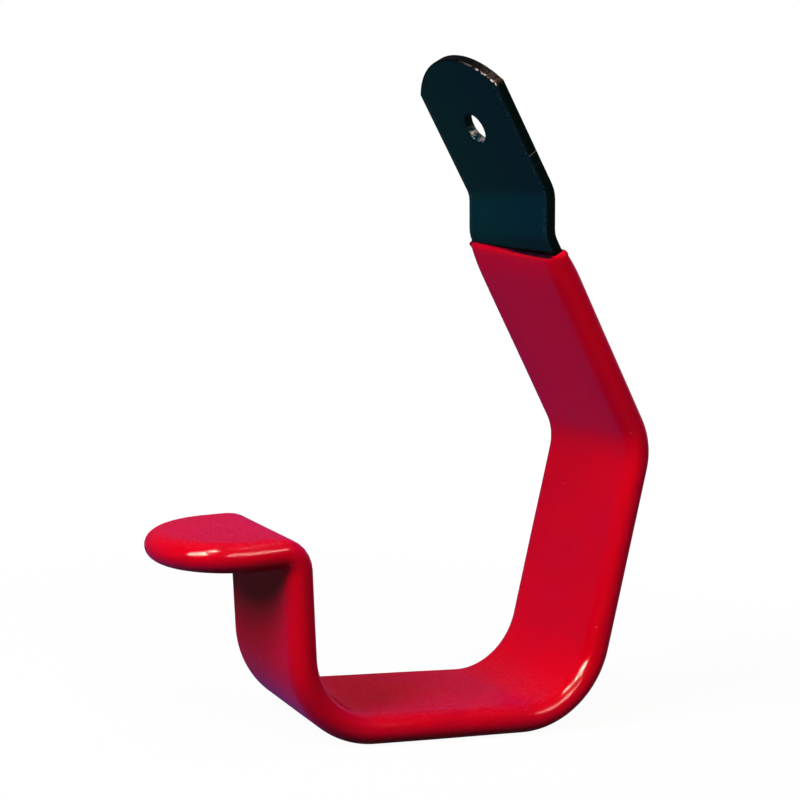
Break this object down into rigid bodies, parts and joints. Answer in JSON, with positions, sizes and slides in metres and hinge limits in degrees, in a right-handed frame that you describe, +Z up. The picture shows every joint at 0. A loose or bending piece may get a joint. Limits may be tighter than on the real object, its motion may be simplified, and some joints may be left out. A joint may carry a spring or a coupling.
{
  "type": "backpack blower holder",
  "caption": "Wall-mounted hook of bent flat steel bar with a bolt-on tab and a vinyl-dipped cradle that holds a backpack blower.",
  "frame": {"origin": "centre of the bolt hole on the tab's back face", "axes": "+Z up with the cradle level, +X across the bar, -Y towards the lip"},
  "size_m": [0.054, 0.1714, 0.2262],
  "materials": {
    "black_paint": "gloss",
    "red_vinyl": "gloss"
  },
  "bodies": {
    "root": {"steel_bar": "black_paint", "vinyl_coating": "red_vinyl"}
  },
  "joints": []
}
